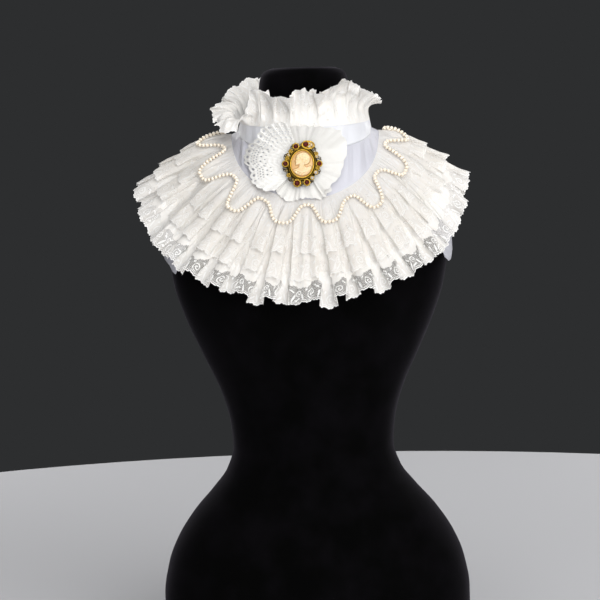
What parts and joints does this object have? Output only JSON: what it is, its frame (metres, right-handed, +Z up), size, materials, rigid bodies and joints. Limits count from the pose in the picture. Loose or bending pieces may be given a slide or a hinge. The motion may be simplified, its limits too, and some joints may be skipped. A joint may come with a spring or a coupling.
{
  "type": "ruff collar on a dress form",
  "caption": "Tiered lace ruff collar with neck ruffle, jabot, cameo brooch and pearl festoons, shown on a black velvet limbless dress form.",
  "frame": {"origin": "centre of the dress form's flat foot, on the surface it stands on", "axes": "+Z up; the front of the collar faces -Y; +X is towards the wearer's left"},
  "size_m": [0.4347, 0.3272, 0.738],
  "materials": {
    "velvet": "black cotton velvet with a soft grey sheen",
    "satin": "lavender-white satin",
    "ivory_lace": "gathered ivory net lace with scrolls and a scalloped edge",
    "organza": "soft white organza",
    "guipure": "raised white guipure lace",
    "antique_gold": "antique gold filigree, dark in its hollows",
    "cameo_shell": "peach shell with a cream relief",
    "garnet": "cut dark red glass",
    "pearl": "ivory pearl lustre",
    "steel": "plain bright steel"
  },
  "bodies": {
    "root": {"dress_form": "velvet", "foundation": "satin", "neckband": "satin", "tier_top": "ivory_lace", "tier_middle": "ivory_lace", "tier_lower": "ivory_lace", "neck_ruffle": "ivory_lace", "jabot_tails": "organza", "jabot_lobe": "organza", "jabot_lace": "guipure", "brooch_frame": "antique_gold", "cameo": "cameo_shell", "stone_top": "garnet", "stone_upper_left": "garnet", "stone_left": "garnet", "stone_right": "garnet", "stone_bottom": "garnet", "stone_lower_right": "garnet", "pearl_strand": "pearl", "hook_upper": "steel", "hook_lower": "steel"}
  },
  "joints": []
}
